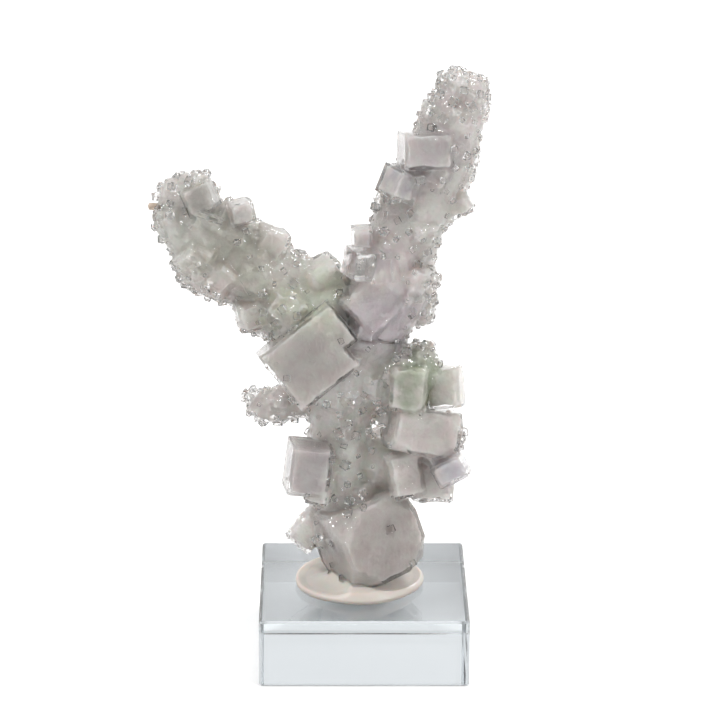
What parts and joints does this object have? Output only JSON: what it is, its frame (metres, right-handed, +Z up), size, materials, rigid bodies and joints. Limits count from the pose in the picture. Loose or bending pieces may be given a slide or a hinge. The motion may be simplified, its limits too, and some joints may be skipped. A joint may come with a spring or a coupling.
{
  "type": "apophyllite cluster",
  "caption": "Druzy branching mineral cluster of pale pseudo-cubic crystals, standing upright on a clear square acrylic block in a pad of putty.",
  "frame": {"origin": "centre of the acrylic block's underside, on the surface that it stands on", "axes": "+Z up, -Y towards the display side, +X to the right seen from the display side"},
  "size_m": [0.0603, 0.0382, 0.1108],
  "materials": {
    "clear_acrylic": "polished clear acrylic with bevelled edges",
    "putty": "soft translucent off-white museum putty",
    "druzy_crystal": "glassy pale crystals and drusy grains, tinted grey, lilac and green"
  },
  "bodies": {
    "root": {"acrylic_block": "clear_acrylic", "mounting_putty": "putty", "trunk": "druzy_crystal", "left_branch": "druzy_crystal", "right_branch": "druzy_crystal"}
  },
  "joints": []
}
